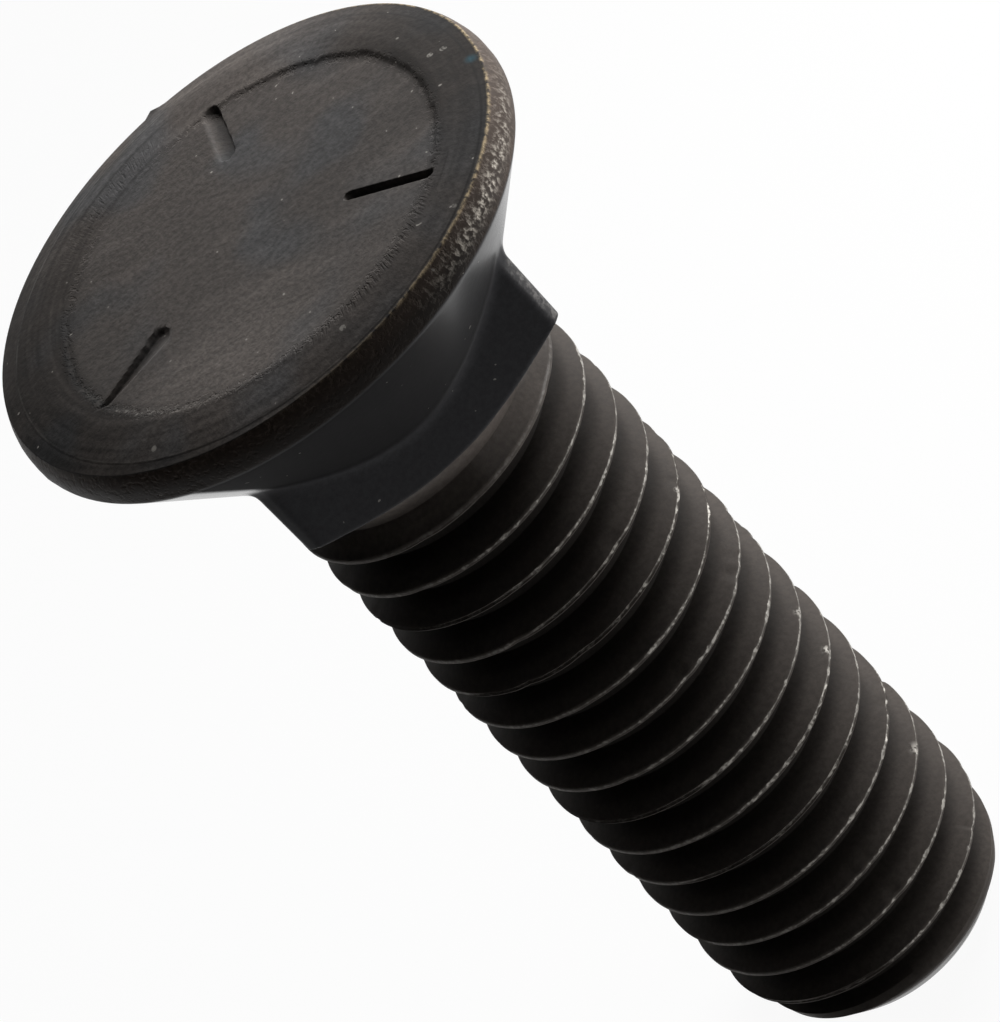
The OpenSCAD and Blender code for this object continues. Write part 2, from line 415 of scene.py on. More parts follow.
@dataclass(frozen=True)
class RolledThread:
    """Right-hand rolled thread with a run-out under the neck, a lead-in and a chamfered point.

    Attributes:
        radius: Radius over the crests.
        pitch: Rise of one turn.
        crest: Half width of the crest's flat.
        root: Radius in the root.
        start: Height of a crest on the +X side.
        shank: Radius where the shank leaves the neck.
        runout: Length over which the thread rises from the shank.
        low: Height where the thread's skin starts.
        high: Height where it ends under the neck.
        point: Radius of the flat end.
        point_slope: Radius gained for each millimetre of the chamfer.
        lead_radius: Radius where the lead-in starts.
        lead_height: Height where the lead-in ends.
        nicks: Number of nicks along the crest.
    """

    radius: float = 5.44
    pitch: float = 1.8143
    crest: float = 0.11
    root: float = 4.354
    start: float = 1.55
    shank: float = 5.15
    runout: float = 1.6
    low: float = 0.3
    high: float = 29.68
    point: float = 4.05
    point_slope: float = 0.9004
    lead_radius: float = 4.98
    lead_height: float = 2.95
    nicks: int = 130

    def blank(self, height: np.ndarray) -> np.ndarray:
        """Radius of the blank: the chamfer's line or the lead-in's line, whichever is smaller.

        Args:
            height: Heights above the point's end.

        Returns:
            Radius at each height.
        """
        chamfer = self.point + self.point_slope * height
        foot = (self.lead_radius - self.point) / self.point_slope
        slope = (self.radius - self.lead_radius) / (self.lead_height - foot)
        return np.minimum(chamfer, self.radius - slope * (self.lead_height - height))

    def levels(self) -> tuple[np.ndarray, np.ndarray]:
        """One pitch of the outline, from a crest down the flank to the root and up to the next crest.

        Returns:
            Rise above the crest's middle and radius of each level.
        """
        flank = (self.radius - self.root) / (0.5 * self.pitch - 0.17 - self.crest)
        up = np.array([0.0, 0.075, self.crest + 0.02, 0.42, 0.72])
        rise = np.concatenate([up, [0.5 * self.pitch], self.pitch - up[:0:-1]])
        fall = np.array([0.0, 0.0, 0.035, flank * 0.31, flank * 0.61 - 0.012])
        radius = self.radius - np.concatenate([fall, [self.radius - self.root + 0.008], fall[:0:-1]])
        return rise, radius

    def wear(self, travel: np.ndarray) -> np.ndarray:
        """Depth of the nicks at a travel in turns along the crest: bell-shaped dents at seeded places.

        Args:
            travel: Travel along the thread in turns.

        Returns:
            Depth at each travel.
        """
        rng = np.random.default_rng(21)
        place = rng.uniform(0.0, 17.0, self.nicks)
        width = rng.uniform(0.003, 0.012, self.nicks)
        depth = 0.075 * rng.uniform(0.2, 1.0, self.nicks) ** 2
        shape = np.exp(-((travel[..., None] - place) / width) ** 2)
        return (depth * shape).max(-1)

    def seam(self, travel: np.ndarray) -> np.ndarray:
        """Depth of the rolling seam in the middle of the crest, which comes and goes along the travel."""
        swell = np.sin(travel * 3.1 + 0.7) + np.sin(travel * 7.3 + 2.1) + 0.6 * np.sin(travel * 17.0)
        return 0.07 * smooth_step(swell, 0.1, 1.2)

    def skin(self, angle: np.ndarray, first: int, low_ring: int, high_ring: int) -> tuple[np.ndarray, np.ndarray]:
        """Helical skin: columns round the axis and levels that climb one pitch a turn, held flat at both ends.

        Height is the base plus pitch times turn, radius is the outline's level, eased into the shank by the
        run-out and cut by the blank. Cells that both ends squash to a line fall away.

        Args:
            angle: Column angles in radians.
            first: Number of the skin's first vertex in the whole mesh.
            low_ring: Number of the first vertex of the ring at the lower end.
            high_ring: Number of the first vertex of the ring at the upper end.

        Returns:
            Vertices, shape (columns * levels, 3), and triangles by vertex number.
        """
        rise, level_radius = self.levels()
        per_turn = len(rise)
        base = self.start - self.pitch * math.ceil((self.start - self.low) / self.pitch + 1.2)
        turns = math.ceil((self.high - base) / self.pitch) + 1
        n = np.arange(per_turn * turns)
        column = np.arange(len(angle))[:, None]
        level = n % per_turn
        turn = angle[:, None] / TURN
        free = base + self.pitch * (turn + n // per_turn) + rise[level]
        height = np.clip(free, self.low, self.high)
        eased = np.clip((self.high - height) / self.runout, 0.0, 1.0)
        crest = np.isin(level, (0, 1, 2, per_turn - 2, per_turn - 1))
        travel = turn + (n + 2) // per_turn
        dent = np.where(crest, self.wear(travel), 0.0) + np.where(level == 0, self.seam(travel), 0.0)
        radius = self.shank + eased * (level_radius[level] - self.shank)
        radius = np.minimum(radius, self.blank(height)) - dent * eased
        points = np.stack([radius * np.cos(angle)[:, None], radius * np.sin(angle)[:, None], height], -1)
        own = first + column * len(n) + n
        number = np.where(free <= self.low, low_ring + column, np.where(free >= self.high, high_ring + column, own))
        wrapped = np.concatenate([number[0, per_turn:], np.full(per_turn, high_ring)])
        right = np.concatenate([number[1:], wrapped[None]])
        last = len(n) - per_turn
        a, d = number[:, :last], number[:, 1:last + 1]
        b, c = right[:, :last], right[:, 1:last + 1]
        cells = np.concatenate([np.stack([a, b, c], -1).reshape(-1, 3), np.stack([a, c, d], -1).reshape(-1, 3)])
        whole = (cells[:, 0] != cells[:, 1]) & (cells[:, 1] != cells[:, 2]) & (cells[:, 2] != cells[:, 0])
        return points.reshape(-1, 3), cells[whole]

    def point_rows(self, angle: np.ndarray) -> Rows:
        """Chamfered point from the skin's lower ring to the flat end, with a small rounded edge.

        Args:
            angle: Column angles in radians.

        Returns:
            X, Y and Z of the rows, downwards.
        """
        height = np.array([self.low, 0.16, 0.05, 0.012, 0.0, 0.0])[:, None]
        radius = np.array([float(self.blank(np.asarray(self.low))), self.point + 0.144, self.point + 0.035,
                           self.point - 0.015, self.point - 0.06, 2.0])[:, None]
        return radius * np.cos(angle), radius * np.sin(angle), height + np.zeros((1, len(angle)))


class Num:
    """A number that a node gives, with arithmetic that adds Math nodes."""

    def __init__(self, graph: "Graph", socket: bpy.types.NodeSocket) -> None:
        """Wraps a socket of a graph."""
        self.graph = graph
        self.socket = socket

    def apply(self, operation: str, *others: "Value") -> "Num":
        """One Math node on this number and the others.

        Args:
            operation: The Math node's operation.
            *others: Further operands.

        Returns:
            The node's result.
        """
        node = self.graph.node("ShaderNodeMath", {"operation": operation}, dict(enumerate((self, *others))))
        return Num(self.graph, node.outputs[0])

    def __add__(self, other: "Value") -> "Num":
        """Sum."""
        return self.apply("ADD", other)

    def __sub__(self, other: "Value") -> "Num":
        """Difference."""
        return self.apply("SUBTRACT", other)

    def __rsub__(self, other: float) -> "Num":
        """Plain number less this one."""
        return (self * -1.0) + other

    def __mul__(self, other: "Value") -> "Num":
        """Product."""
        return self.apply("MULTIPLY", other)

    def __truediv__(self, other: "Value") -> "Num":
        """Quotient."""
        return self.apply("DIVIDE", other)

    __radd__ = __add__
    __rmul__ = __mul__

    def ramp(self, low: "Value", high: "Value") -> "Num":
        """Smooth ramp 3t^2 - 2t^3 through a Map Range node.

        Args:
            low: Number where the ramp is 0.
            high: Number where it is 1, which may lie below the other.

        Returns:
            The ramp.
        """
        node = self.graph.node("ShaderNodeMapRange", {"interpolation_type": "SMOOTHSTEP"},
                               {"Value": self, "From Min": low, "From Max": high})
        return Num(self.graph, node.outputs[0])

    def band(self, middle: "Value", reach: float) -> "Num":
        """1 at the middle, falling smoothly to 0 at the reach on both sides."""
        return (self - middle).apply("ABSOLUTE").ramp(reach, 0.0)


Value = Union[Num, float, bpy.types.NodeSocket]


class Graph:
    """Node tree of a material or of the world."""

    def __init__(self, tree: bpy.types.NodeTree) -> None:
        """Empties the tree."""
        self.tree = tree
        tree.nodes.clear()

    def node(self, kind: str, settings: Mapping[str, Any], inputs: Mapping[Any, Any]) -> bpy.types.Node:
        """Adds a node.

        Args:
            kind: Blender's name of the node's type.
            settings: Properties, which are set before the sockets.
            inputs: Values or links of the input sockets, by name or number.

        Returns:
            The node.
        """
        made = self.tree.nodes.new(kind)
        for name, value in settings.items():
            setattr(made, name, value)
        for name, value in inputs.items():
            source = value.socket if isinstance(value, Num) else value
            if isinstance(source, bpy.types.NodeSocket):
                self.tree.links.new(source, made.inputs[name])
            else:
                made.inputs[name].default_value = source
        return made

    def mix(self, below: Any, above: Any, share: Value, blend: Blend = Blend.MIX) -> bpy.types.NodeSocket:
        """Colour mix of above over below, by a share.

        Args:
            below: Colour or socket below.
            above: Colour or socket above.
            share: How much of the upper one shows.
            blend: How it goes over the lower one.

        Returns:
            The mixed colour.
        """
        node = self.node("ShaderNodeMix", {"data_type": "RGBA", "blend_type": blend.value},
                         {0: share, 6: below, 7: above})
        return node.outputs[2]

    def noise(self, place: bpy.types.NodeSocket, scale: float, detail: float, rough: float = 0.55) -> Num:
        """Noise around 0.5.

        Args:
            place: Point in millimetres.
            scale: Waves a millimetre.
            detail: Finer waves on top.
            rough: Share of the finer waves.

        Returns:
            The noise.
        """
        node = self.node("ShaderNodeTexNoise", {},
                         {"Vector": place, "Scale": scale, "Detail": detail, "Roughness": rough})
        return Num(self, node.outputs[0])

    @classmethod
    def of_material(cls, name: str) -> "tuple[bpy.types.Material, Graph]":
        """A new material and its empty graph.

        Args:
            name: Name of the material.

        Returns:
            The material and its graph.
        """
        material = bpy.data.materials.new(name)
        material.use_nodes = True
        return material, cls(material.node_tree)

    def shade(self, color: Any, factor: Num) -> bpy.types.NodeSocket:
        """Colour times a number."""
        return self.mix(color, self.vector(factor, factor, factor), 1.0, Blend.MULTIPLY)

    def spot(self, place: bpy.types.NodeSocket, middle: Sequence[float], reach: float) -> Num:
        """1 at a point, falling smoothly to 0 at the reach around it."""
        node = self.node("ShaderNodeVectorMath", {"operation": "DISTANCE"}, {0: place, 1: middle})
        return Num(self, node.outputs["Value"]).ramp(reach, 0.0)

    def vector(self, x: Value, y: Value, z: Value) -> bpy.types.NodeSocket:
        """Vector of three numbers."""
        return self.node("ShaderNodeCombineXYZ", {}, {0: x, 1: y, 2: z}).outputs[0]


@dataclass(frozen=True)
class Tone:
    """Linear colour of one state of the steel.

    Attributes:
        red: Red.
        green: Green.
        blue: Blue.
    """

    red: float
    green: float
    blue: float

    def rgba(self) -> tuple[float, float, float, float]:
        """Colour with full alpha."""
        return (self.red, self.green, self.blue, 1.0)


class BoltPlaces:
    """Where a point of the surface lies on the bolt, and how much it belongs to each form.

    Lengths are in millimetres and angles in radians. Names that start with on_ are masks, 1 on the form and 0 off
    it. The depth is below the head's top, die_turn goes round the middle of the dashes, beyond is the distance
    outside the pressed disc's wall, and outer the distance from the middle of the step in the sloping ring, which
    lies at STEP_RADIUS.
    """

    STEP_MIDDLE = (0.1, -0.35)
    STEP_RADIUS = 9.0

    def __init__(self, g: Graph, head: ForgedHead, neck: SquareNeck, thread: RolledThread) -> None:
        """Adds the nodes that the finish reads in more than one place.

        Args:
            g: Graph of the material.
            head: The head.
            neck: The neck below it.
            thread: The thread below that.
        """
        self.g, self.head, self.thread = g, head, thread
        coord = g.node("ShaderNodeTexCoord", {}, {})
        self.place = g.node("ShaderNodeVectorMath", {"operation": "SCALE"},
                            {0: coord.outputs["Object"], "Scale": 1.0 / MM}).outputs[0]
        xyz = g.node("ShaderNodeSeparateXYZ", {}, {0: self.place})
        x, y, z = self.x, self.y, self.z = tuple(Num(g, socket) for socket in xyz.outputs)
        self.radius = self.length(x, y)
        self.angle = y.apply("ARCTAN2", x)
        self.depth = head.top - z

        die_x, die_y = x - head.die_x, y - head.die_y
        self.die_turn = die_y.apply("ARCTAN2", die_x)
        wall = (self.die_turn - math.radians(head.recess_toward)).apply("COSINE") * head.recess_shift
        self.beyond = self.length(die_x, die_y) - (wall + head.recess_radius)
        self.outer = self.length(x - self.STEP_MIDDLE[0], y - self.STEP_MIDDLE[1])
        self.ring = self.beyond.ramp(-0.5, 0.25)

        self.grain = g.noise(self.place, 5.0, 2.0, 0.65)
        self.cloud = g.noise(self.place, 0.32, 1.0, 0.5)
        self.speck = g.noise(self.place, 7.5, 1.0, 0.5)
        self.streak = g.noise(g.vector(self.angle * 5.0, z * 0.55, self.radius * 0.5), 2.2, 2.0, 0.6)

        edge, rim = head.edge_radius, head.rim_depth
        neck_end = head.top - neck.end
        self.on_top = self.depth.ramp(0.62, 0.5) * self.radius.ramp(edge + 0.03, edge - 0.03)
        self.on_rim = self.depth.ramp(rim + 0.12, rim - 0.05) * (1.0 - self.on_top)
        self.on_thread = z.ramp(neck_end + 0.02, neck_end - 0.05)
        self.on_collar = self.on_thread * z.ramp(28.0, 28.7)
        off_seat = self.radius - head.radius + (self.depth - rim) * head.seat_slope
        self.on_seat = off_seat.band(0.0, 0.1) * self.depth.ramp(rim, rim + 0.2) * (1.0 - self.on_thread)

    @staticmethod
    def length(a: Num, b: Num) -> Num:
        """Length of a vector with two parts."""
        return (a * a + b * b).apply("SQRT")

    def about(self, degrees: float, reach: float) -> Num:
        """1 in a direction from the axis, falling smoothly to 0 at the reach in degrees on both sides."""
        return self.angle.band(math.radians(degrees), math.radians(reach))

    def about_die(self, degrees: float, reach: float) -> Num:
        """1 in a direction from the middle of the dashes, falling to 0 at the reach in degrees on both sides."""
        return self.die_turn.band(math.radians(degrees), math.radians(reach))


@dataclass(frozen=True)
class BlackenedSteel:
    """Black conversion coat on forged steel, worn to bare metal on the crests and on the rim's edge, with painted
    light and shade.

    Attributes:
        face: Coat on the head's top.
        face_cool: Bluer patches of the top.
        rim: Coat on the rim, browner and pitted.
        neck: Coat on the neck.
        seat: Coat on the seat.
        flank: Coat on the thread.
        bare: Worn crests, brightened towards +X as painted light, bright flecks and a painted highlight on the
            ring's step.
        brass: Edge of the rim on the +X side, partly worn metal, partly painted highlight.
        chafe: Chafed side of the rim.
        grime: Strokes along the wall of the pressed disc.
        blue: Bluish spot near the edge.
        black: Burr on the edge.
        scuff: Scuffed corner and point, partly painted light on the +X side.
        specular: Specular level of the coat.
        gloss: Roughness of the smooth film on seat and point.
        blue_spot: X, Y, depth and reach of the bluish spot.
        burr_spot: X, Y, depth and reach of the burr.
        flecks: X, Y and reach of bright flecks on the head's top.
        fleck_depth: Depth of the flecks' middles.
        dings: Places of knocked crests and their reach.
    """

    face: Tone = Tone(0.073, 0.064, 0.0585)
    face_cool: Tone = Tone(0.061, 0.0595, 0.06)
    rim: Tone = Tone(0.075, 0.058, 0.048)
    neck: Tone = Tone(0.042, 0.0415, 0.0445)
    seat: Tone = Tone(0.018, 0.0175, 0.018)
    flank: Tone = Tone(0.074, 0.064, 0.057)
    bare: Tone = Tone(0.4, 0.38, 0.345)
    brass: Tone = Tone(0.42, 0.33, 0.2)
    chafe: Tone = Tone(0.5, 0.46, 0.4)
    grime: Tone = Tone(0.012, 0.011, 0.011)
    blue: Tone = Tone(0.03, 0.075, 0.095)
    black: Tone = Tone(0.008, 0.008, 0.008)
    scuff: Tone = Tone(0.3, 0.285, 0.27)
    specular: float = 0.07
    gloss: float = 0.21
    blue_spot: tuple[float, float, float, float] = (9.0, -1.97, 0.3, 0.32)
    burr_spot: tuple[float, float, float, float] = (0.71, 9.47, 0.36, 0.34)
    flecks: tuple[tuple[float, float, float], ...] = (
        (5.36, -7.57, 0.34), (8.17, -0.51, 0.24), (8.63, -0.62, 0.22), (-0.8, -7.65, 0.22), (0.29, -8.49, 0.2),
        (-6.47, -5.94, 0.2), (-5.69, -4.75, 0.22), (7.85, 1.55, 0.22))
    fleck_depth: float = 0.15
    dings: tuple[tuple[float, float, float, float], ...] = (
        (4.53, -2.98, 6.8, 0.42), (4.62, -2.84, 12.42, 0.3), (4.75, -2.61, 14.13, 0.28), (4.54, -2.95, 21.41, 0.16))

    def crest_wear_and_painted_light(self, at: BoltPlaces) -> Num:
        """Bare metal along the crests: a line whose width and brightness vary along the thread, and the dings.

        The line is brighter towards +X, which is painted light, and dies away under the neck, which is painted
        shade.

        Args:
            at: Places and masks on the bolt.

        Returns:
            Share of bare metal.
        """
        x, z, thread = at.x, at.z, at.thread
        phase = ((z - thread.start) / thread.pitch - at.angle / TURN).apply("FRACT")
        off = ((phase - 0.5).apply("ABSOLUTE") * -1.0 + 0.5) * thread.pitch
        reach = 0.045 + at.streak.ramp(0.4, 0.75) * 0.075
        crest = off.ramp(reach, reach - 0.05) * at.on_thread
        crest = crest * at.radius.ramp(thread.radius - 0.42, thread.radius - 0.2)
        crest_wear_and_light = crest * (0.28 + at.speck.ramp(0.38, 0.66) * at.streak.ramp(0.3, 0.55) * 0.72)
        # Painted light: the crest line brightens towards +X; painted shade dims it under the neck.
        crest_wear_and_light = crest_wear_and_light * (0.3 + x.ramp(-4.5, 3.5) * 1.1) * (0.15 + z.ramp(28.75, 27.4) * 0.85)
        hurt = sum(at.g.spot(at.place, spot, size) for *spot, size in self.dings) * at.speck.ramp(0.4, 0.55)
        return (crest_wear_and_light + hurt * off.ramp(0.32, 0.12)).apply("MINIMUM", 1.0)

    def side_tone(self, at: BoltPlaces) -> bpy.types.NodeSocket:
        """Coat on neck, seat, thread and rim, with painted shade in the thread's roots and low on the rim, and
        painted light.

        Args:
            at: Places and masks on the bolt.

        Returns:
            The colour.
        """
        g, x, outside = at.g, at.x, at.thread.radius
        # Painted shade: the thread darkens towards its roots. Painted light: the collar under the neck is lighter
        # towards the middle and -X.
        root_shade_and_collar_light = 1.0 - at.radius.ramp(outside - 0.3, outside - 0.85) * 0.6
        root_shade_and_collar_light = root_shade_and_collar_light * (1.0 + at.on_collar * x.ramp(5.2, 1.5) * 1.3)
        # Painted shade: the rim darkens below its edge, less so on the +X side, and painted light makes the +X side
        # lighter.
        under = 1.0 - at.depth.ramp(0.5, 1.15) * (0.8 - x.ramp(4.0, 8.0) * 0.75) + x.ramp(3.0, 7.0) * 0.3
        color = g.mix(self.neck.rgba(), self.seat.rgba(), at.on_seat)
        color = g.mix(color, g.shade(self.flank.rgba(), root_shade_and_collar_light), at.on_thread)
        return g.mix(color, g.shade(self.rim.rgba(), under), at.on_rim)

    def top_tone(self, at: BoltPlaces) -> bpy.types.NodeSocket:
        """Coat on the head's top with painted shade and light: darker on the ring, at -X, in the dashes and along
        parts of the disc's wall.

        Args:
            at: Places and masks on the bolt.

        Returns:
            The colour.
        """
        g, x, y, ring = at.g, at.x, at.y, at.ring
        far = at.about_die(66.0, 70.0)
        smear = g.noise(g.vector(x * 0.19 - y * 0.11, x * 0.53 + y * 0.96, 0.0), 1.0, 1.0).ramp(0.48, 0.72)
        # Factor of painted shade and light on the top, over random smears: the ring darker, less on the far side and
        # more at +X; the -X side darker; the near side and the far ring lighter as painted sheen; the disc's +X, -Y
        # quarter darker.
        painted_light_and_tone = (1.0 - ring * (0.3 - far * 0.3 + x.ramp(4.0, 8.5) * 0.28)) * (1.0 - x.ramp(-2.5, -8.0) * 0.38)
        painted_light_and_tone = painted_light_and_tone * (1.0 + y.ramp(-1.5, -6.0) * (0.25 + x.ramp(1.0, -3.0) * 0.45))
        painted_light_and_tone = painted_light_and_tone * (0.93 + smear * 0.24) * (1.0 + far * ring * 0.35)
        painted_light_and_tone = painted_light_and_tone * (1.0 - x.ramp(-1.0, 3.0) * y.ramp(2.0, -2.0) * (1.0 - ring) * 0.2)
        # Painted shade in the dashes, in a band along the disc's wall on the die's +X side, and along the ring's
        # step at +X; the grime along the wall's -X stretch is dirt.
        dash_shade = at.depth.ramp(0.13, 0.26) * at.radius.ramp(7.9, 7.6)
        shaded = at.beyond.band(0.12, 0.42) * at.about_die(0.0, 52.0)
        groove = at.outer.band(at.STEP_RADIUS, 0.075) * x.ramp(2.0, 6.0)
        behind = at.die_turn.apply("ABSOLUTE").band(math.radians(172.0), math.radians(34.0))
        grimy = at.beyond.band(0.0, 0.42) * behind * at.grain.ramp(0.3, 0.52)
        painted_light_and_tone = painted_light_and_tone * (1.0 - dash_shade * 0.45) * (1.0 - shaded * 0.35) * (1.0 - groove * 0.5) * (1.0 - grimy * 0.9)
        return g.shade(g.mix(self.face.rgba(), self.face_cool.rgba(), at.cloud.ramp(0.45, 0.7)), painted_light_and_tone)

    def mottle(self, at: BoltPlaces) -> Num:
        """Factor of the tone: fine grain, soft clouds and, on the top, patches of turning arcs.

        Args:
            at: Places and masks on the bolt.

        Returns:
            The factor.
        """
        turning = at.g.noise(at.g.vector(at.radius * 4.2, at.cloud * 2.5, at.angle * 0.35), 1.0, 1.0)
        patch = at.cloud.ramp(0.5, 0.66) * 0.4 + at.ring * (0.45 + at.x.ramp(3.0, -4.0) * 0.55)
        arcs = (turning.ramp(0.3, 0.7) - 0.5) * patch * at.on_top
        blotch = 0.3 + (at.on_top + at.on_rim) * 0.26
        return (1.0 + (at.grain.ramp(0.25, 0.75) - 0.5) * blotch) * (0.86 + at.cloud * 0.28) * (1.0 + arcs * 0.5)

    def edge_wear_and_highlight(self, at: BoltPlaces) -> Num:
        """Bare line along the rim's edge on the +X side, broken by the grain: partly worn metal, partly a painted
        highlight.

        Args:
            at: Places and masks on the bolt.

        Returns:
            Share of bare metal.
        """
        # The line is kept to the +X side, where it is partly a painted highlight and partly worn metal.
        toward = (at.angle - math.radians(-20.0)).apply("ABSOLUTE").ramp(math.radians(100.0), math.radians(30.0))
        edge = at.radius.band(at.head.edge_radius, 0.09) * at.depth.band(at.head.edge_depth, 0.12)
        return edge * toward * at.grain.ramp(0.35, 0.62)

    def chafed(self, at: BoltPlaces) -> Num:
        """Bare patches on the side of the rim, where it was rubbed."""
        return at.on_rim * at.about(-44.0, 38.0) * at.depth.band(0.95, 0.5) * at.grain.ramp(0.43, 0.66)

    def scuff_and_painted_light(self, at: BoltPlaces) -> Num:
        """Scuffs on the neck's corner towards +X and on the point's chamfer at +X: partly scuffed metal, partly
        painted light.

        Args:
            at: Places and masks on the bolt.

        Returns:
            Share of scuffed metal.
        """
        start, end = (math.radians(-47.4), math.radians(-44.8)), (math.radians(-30.0), math.radians(-40.0))
        # Both scuffs lie on the +X side, where they are partly painted light on the corner's sliver and on the
        # chamfer.
        corner = at.angle.ramp(*start) * at.angle.ramp(*end) * at.depth.ramp(4.3, 4.7) * (1.0 - at.on_thread)
        point = at.z.ramp(0.9, 0.6) * at.x.ramp(-2.0, 4.0)
        return corner * (0.12 + at.grain.ramp(0.45, 0.7) * 0.38) + point * (0.45 + at.grain.ramp(0.4, 0.65) * 0.4)

    def strokes(self, at: BoltPlaces, torn: Num) -> Num:
        """Short slanted strokes across the disc's wall, and in the torn stretch farther out.

        Args:
            at: Places and masks on the bolt.
            torn: Mask of the stretch where the wall is torn.

        Returns:
            Share of the strokes.
        """
        comb = at.g.vector(at.die_turn * 60.0 + at.beyond * 2.6, at.beyond * 1.4, 0.0)
        combed = at.g.noise(comb, 1.0, 1.0).ramp(0.45, 0.7)
        wall = at.beyond.band(0.1, 0.34) * at.about_die(-78.0, 62.0)
        return combed * (wall + at.beyond.band(0.75, 0.85) * torn * at.grain.ramp(0.4, 0.58)) * at.on_top

    def sparkle(self, at: BoltPlaces) -> Num:
        """Bright specks: scattered sparks, single flecks, a broken ridge at the wall, and a painted highlight along
        the ring's step on the -X side.

        Args:
            at: Places and masks on the bolt.

        Returns:
            Share of bare metal.
        """
        g, speck = at.g, at.speck
        # Painted highlight along the ring's step on the -X side.
        step_highlight = at.outer.band(at.STEP_RADIUS - 0.02, 0.06) * at.on_top
        step_highlight = step_highlight * at.streak.ramp(0.4, 0.6) * at.x.ramp(4.0, 0.0)
        ridge = speck.ramp(0.54, 0.66) * at.beyond.band(-0.05, 0.28) * at.about_die(-146.0, 44.0)
        height = at.head.top - self.fleck_depth
        fleck = sum(g.spot(at.place, (*spot, height), size) for *spot, size in self.flecks)
        fleck = fleck.ramp(0.3, 0.5) * speck.ramp(0.36, 0.52)
        spark = g.noise(at.place, 5.0, 0.0).ramp(0.86, 0.885) * (1.0 - at.on_thread)
        spark = spark + (fleck * 0.7 + ridge * 0.34) * at.on_top
        return (step_highlight * 0.1 + spark * 0.75).apply("MINIMUM", 1.0)

    def spot(self, at: BoltPlaces, where: tuple[float, float, float, float]) -> Num:
        """One spot on the head, given by X, Y, depth and reach."""
        x, y, depth, reach = where
        return at.g.spot(at.place, (x, y, at.head.top - depth), reach)

    def relief(self, at: BoltPlaces, strokes: Num, torn: Num) -> Num:
        """Height in millimetres: fine grain, strokes, the step in the ring, chips at the wall and pits in the rim.

        Args:
            at: Places and masks on the bolt.
            strokes: Share of the strokes.
            torn: Mask of the stretch where the wall is torn.

        Returns:
            The height.
        """
        chips = at.grain.ramp(0.5, 0.64) * at.beyond.band(-0.05, 0.42) * at.on_top * (1.0 - torn * 0.8)
        relief = at.grain * (0.006 + at.on_top * 0.012) - strokes * 0.022
        step = at.outer.ramp(at.STEP_RADIUS + 0.06, at.STEP_RADIUS - 0.04)
        relief = relief + step * at.on_top * 0.016 - chips * 0.03
        return relief - at.grain.ramp(0.46, 0.7) * at.on_rim * 0.016

    def material(self, head: ForgedHead, neck: SquareNeck, thread: RolledThread) -> bpy.types.Material:
        """Builds the material from the places of the bolt's forms.

        Args:
            head: Head whose top and rim get their own tones.
            neck: Neck below it.
            thread: Thread whose crests are worn.

        Returns:
            The material.
        """
        material, g = Graph.of_material("blackened_steel")
        at = BoltPlaces(g, head, neck, thread)
        x, y, z = at.x, at.y, at.z
        torn = at.about_die(110.0, 34.0)
        crest_wear_and_light, edge_wear_and_highlight, chafed, scuff_and_painted_light = (
            layer(at) for layer in (self.crest_wear_and_painted_light, self.edge_wear_and_highlight, self.chafed, self.scuff_and_painted_light))
        strokes = self.strokes(at, torn)

        color = g.shade(g.mix(self.side_tone(at), self.top_tone(at), at.on_top), self.mottle(at))
        for tone, share in (
            (self.brass, edge_wear_and_highlight * 0.75),
            (self.bare, crest_wear_and_light),
            (self.chafe, chafed * 0.95),
            (self.grime, strokes * 0.5),
            (self.bare, self.sparkle(at)),
            (self.blue, self.spot(at, self.blue_spot) * at.on_top * 0.8),
            (self.black, self.spot(at, self.burr_spot)),
            (self.scuff, scuff_and_painted_light),
        ):
            color = g.mix(color, tone.rgba(), share)

        # The seat has a smooth film at its +X end and past the neck's corner on the -X side, and is matt between
        past_corner = (y - x).ramp(-0.9, -0.1) * x.ramp(0.0, -3.0)
        film = at.on_seat * (x.ramp(-1.0, 4.0) * 0.45 + x.ramp(5.0, 7.5) * 0.5 + past_corner) + at.on_collar * 0.18
        film = film + z.ramp(0.85, 0.5) * (0.6 + x.ramp(0.0, 3.5) * 0.35)
        rough = 0.5 - crest_wear_and_light * 0.16 + (at.grain - 0.5) * 0.18 + at.on_thread * 0.1 + at.ring * at.on_top * 0.2
        rough = rough + at.on_seat * x.ramp(4.0, 1.0) * (1.0 - past_corner) * 0.4
        metal = (crest_wear_and_light * 0.45 + edge_wear_and_highlight * 0.5 + scuff_and_painted_light * 0.6 + chafed * 0.45).apply("MINIMUM", 1.0)
        bump = g.node("ShaderNodeBump", {},
                      {"Strength": 1.0, "Distance": MM, "Height": self.relief(at, strokes, torn)})
        shader = g.node("ShaderNodeBsdfPrincipled", {},
                        {"Base Color": color, "Roughness": rough, "Metallic": metal,
                         "Specular IOR Level": self.specular, "Normal": bump.outputs[0],
                         "Coat Weight": film, "Coat Roughness": self.gloss})
        g.node("ShaderNodeOutputMaterial", {}, {"Surface": shader.outputs[0]})
        return material


